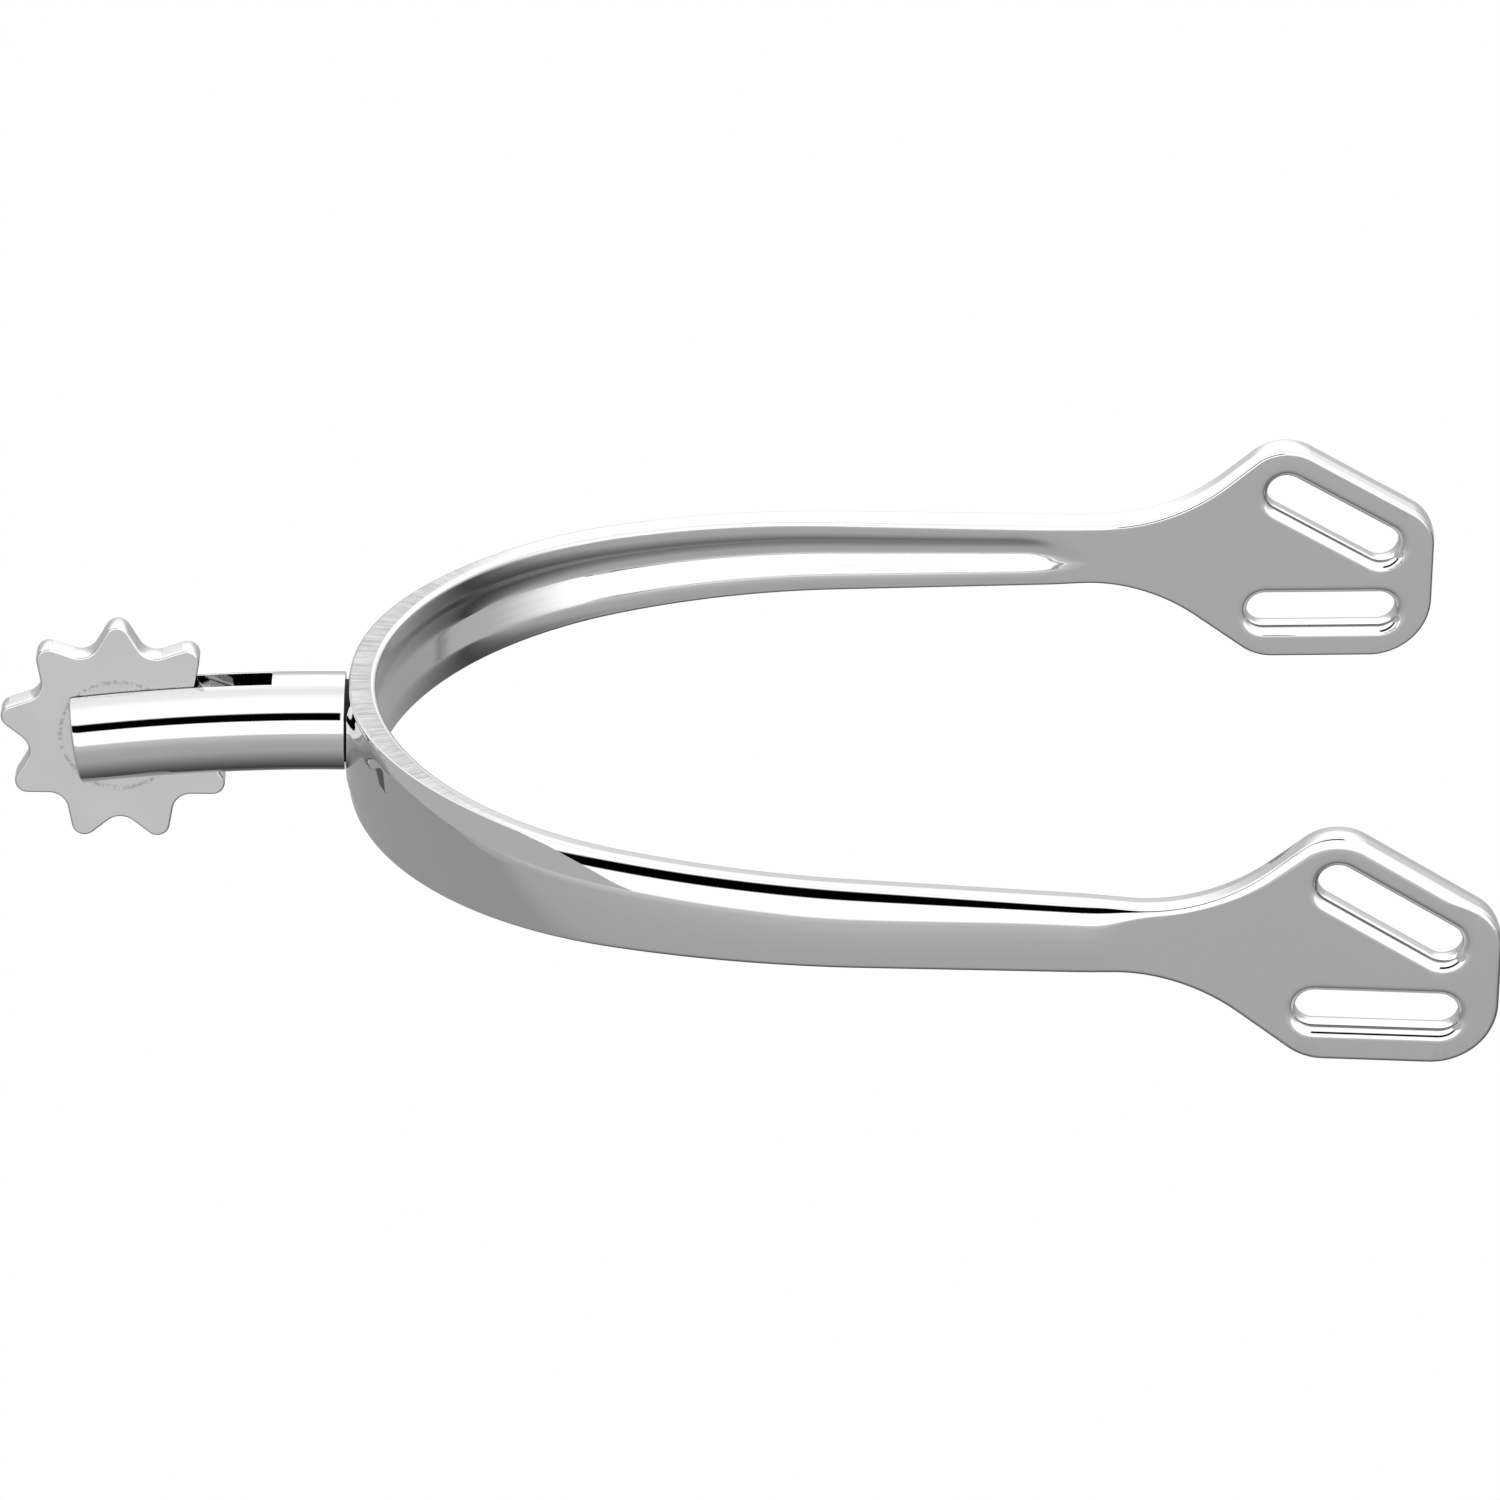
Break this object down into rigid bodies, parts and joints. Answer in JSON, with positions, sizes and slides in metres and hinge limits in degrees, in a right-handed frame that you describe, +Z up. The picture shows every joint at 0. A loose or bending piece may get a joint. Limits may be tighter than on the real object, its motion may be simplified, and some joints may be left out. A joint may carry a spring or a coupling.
{
  "type": "rowel spur",
  "caption": "Polished stainless steel riding spur: U-shaped heel band with slotted strap paddles, bent forked neck and a toothed rowel that spins on its pin.",
  "frame": {"origin": "under the middle of the spur, on the surface that it stands on with the rowel's two lowest teeth and the paddles' lower edges", "axes": "+X from the rowel towards the strap paddles, +Y to the spur's left side, +Z up, towards the top of the heel band"},
  "size_m": [0.1532, 0.0972, 0.0251],
  "materials": {
    "polished_stainless": "mirror polished",
    "satin_stainless": "satin",
    "pin_steel": "ground flush"
  },
  "bodies": {
    "yoke": {"heel_band": "polished_stainless", "neck": "polished_stainless", "neck_stud": "pin_steel", "rowel_pin": "pin_steel"},
    "rowel": {"rowel": "satin_stainless"}
  },
  "joints": [
    {"name": "rowel_spin", "type": "hinge", "parent": "yoke", "child": "rowel", "pos_m": [-0.06428, 0, 0.01183], "axis": [0, 1, 0], "continuous": true}
  ]
}
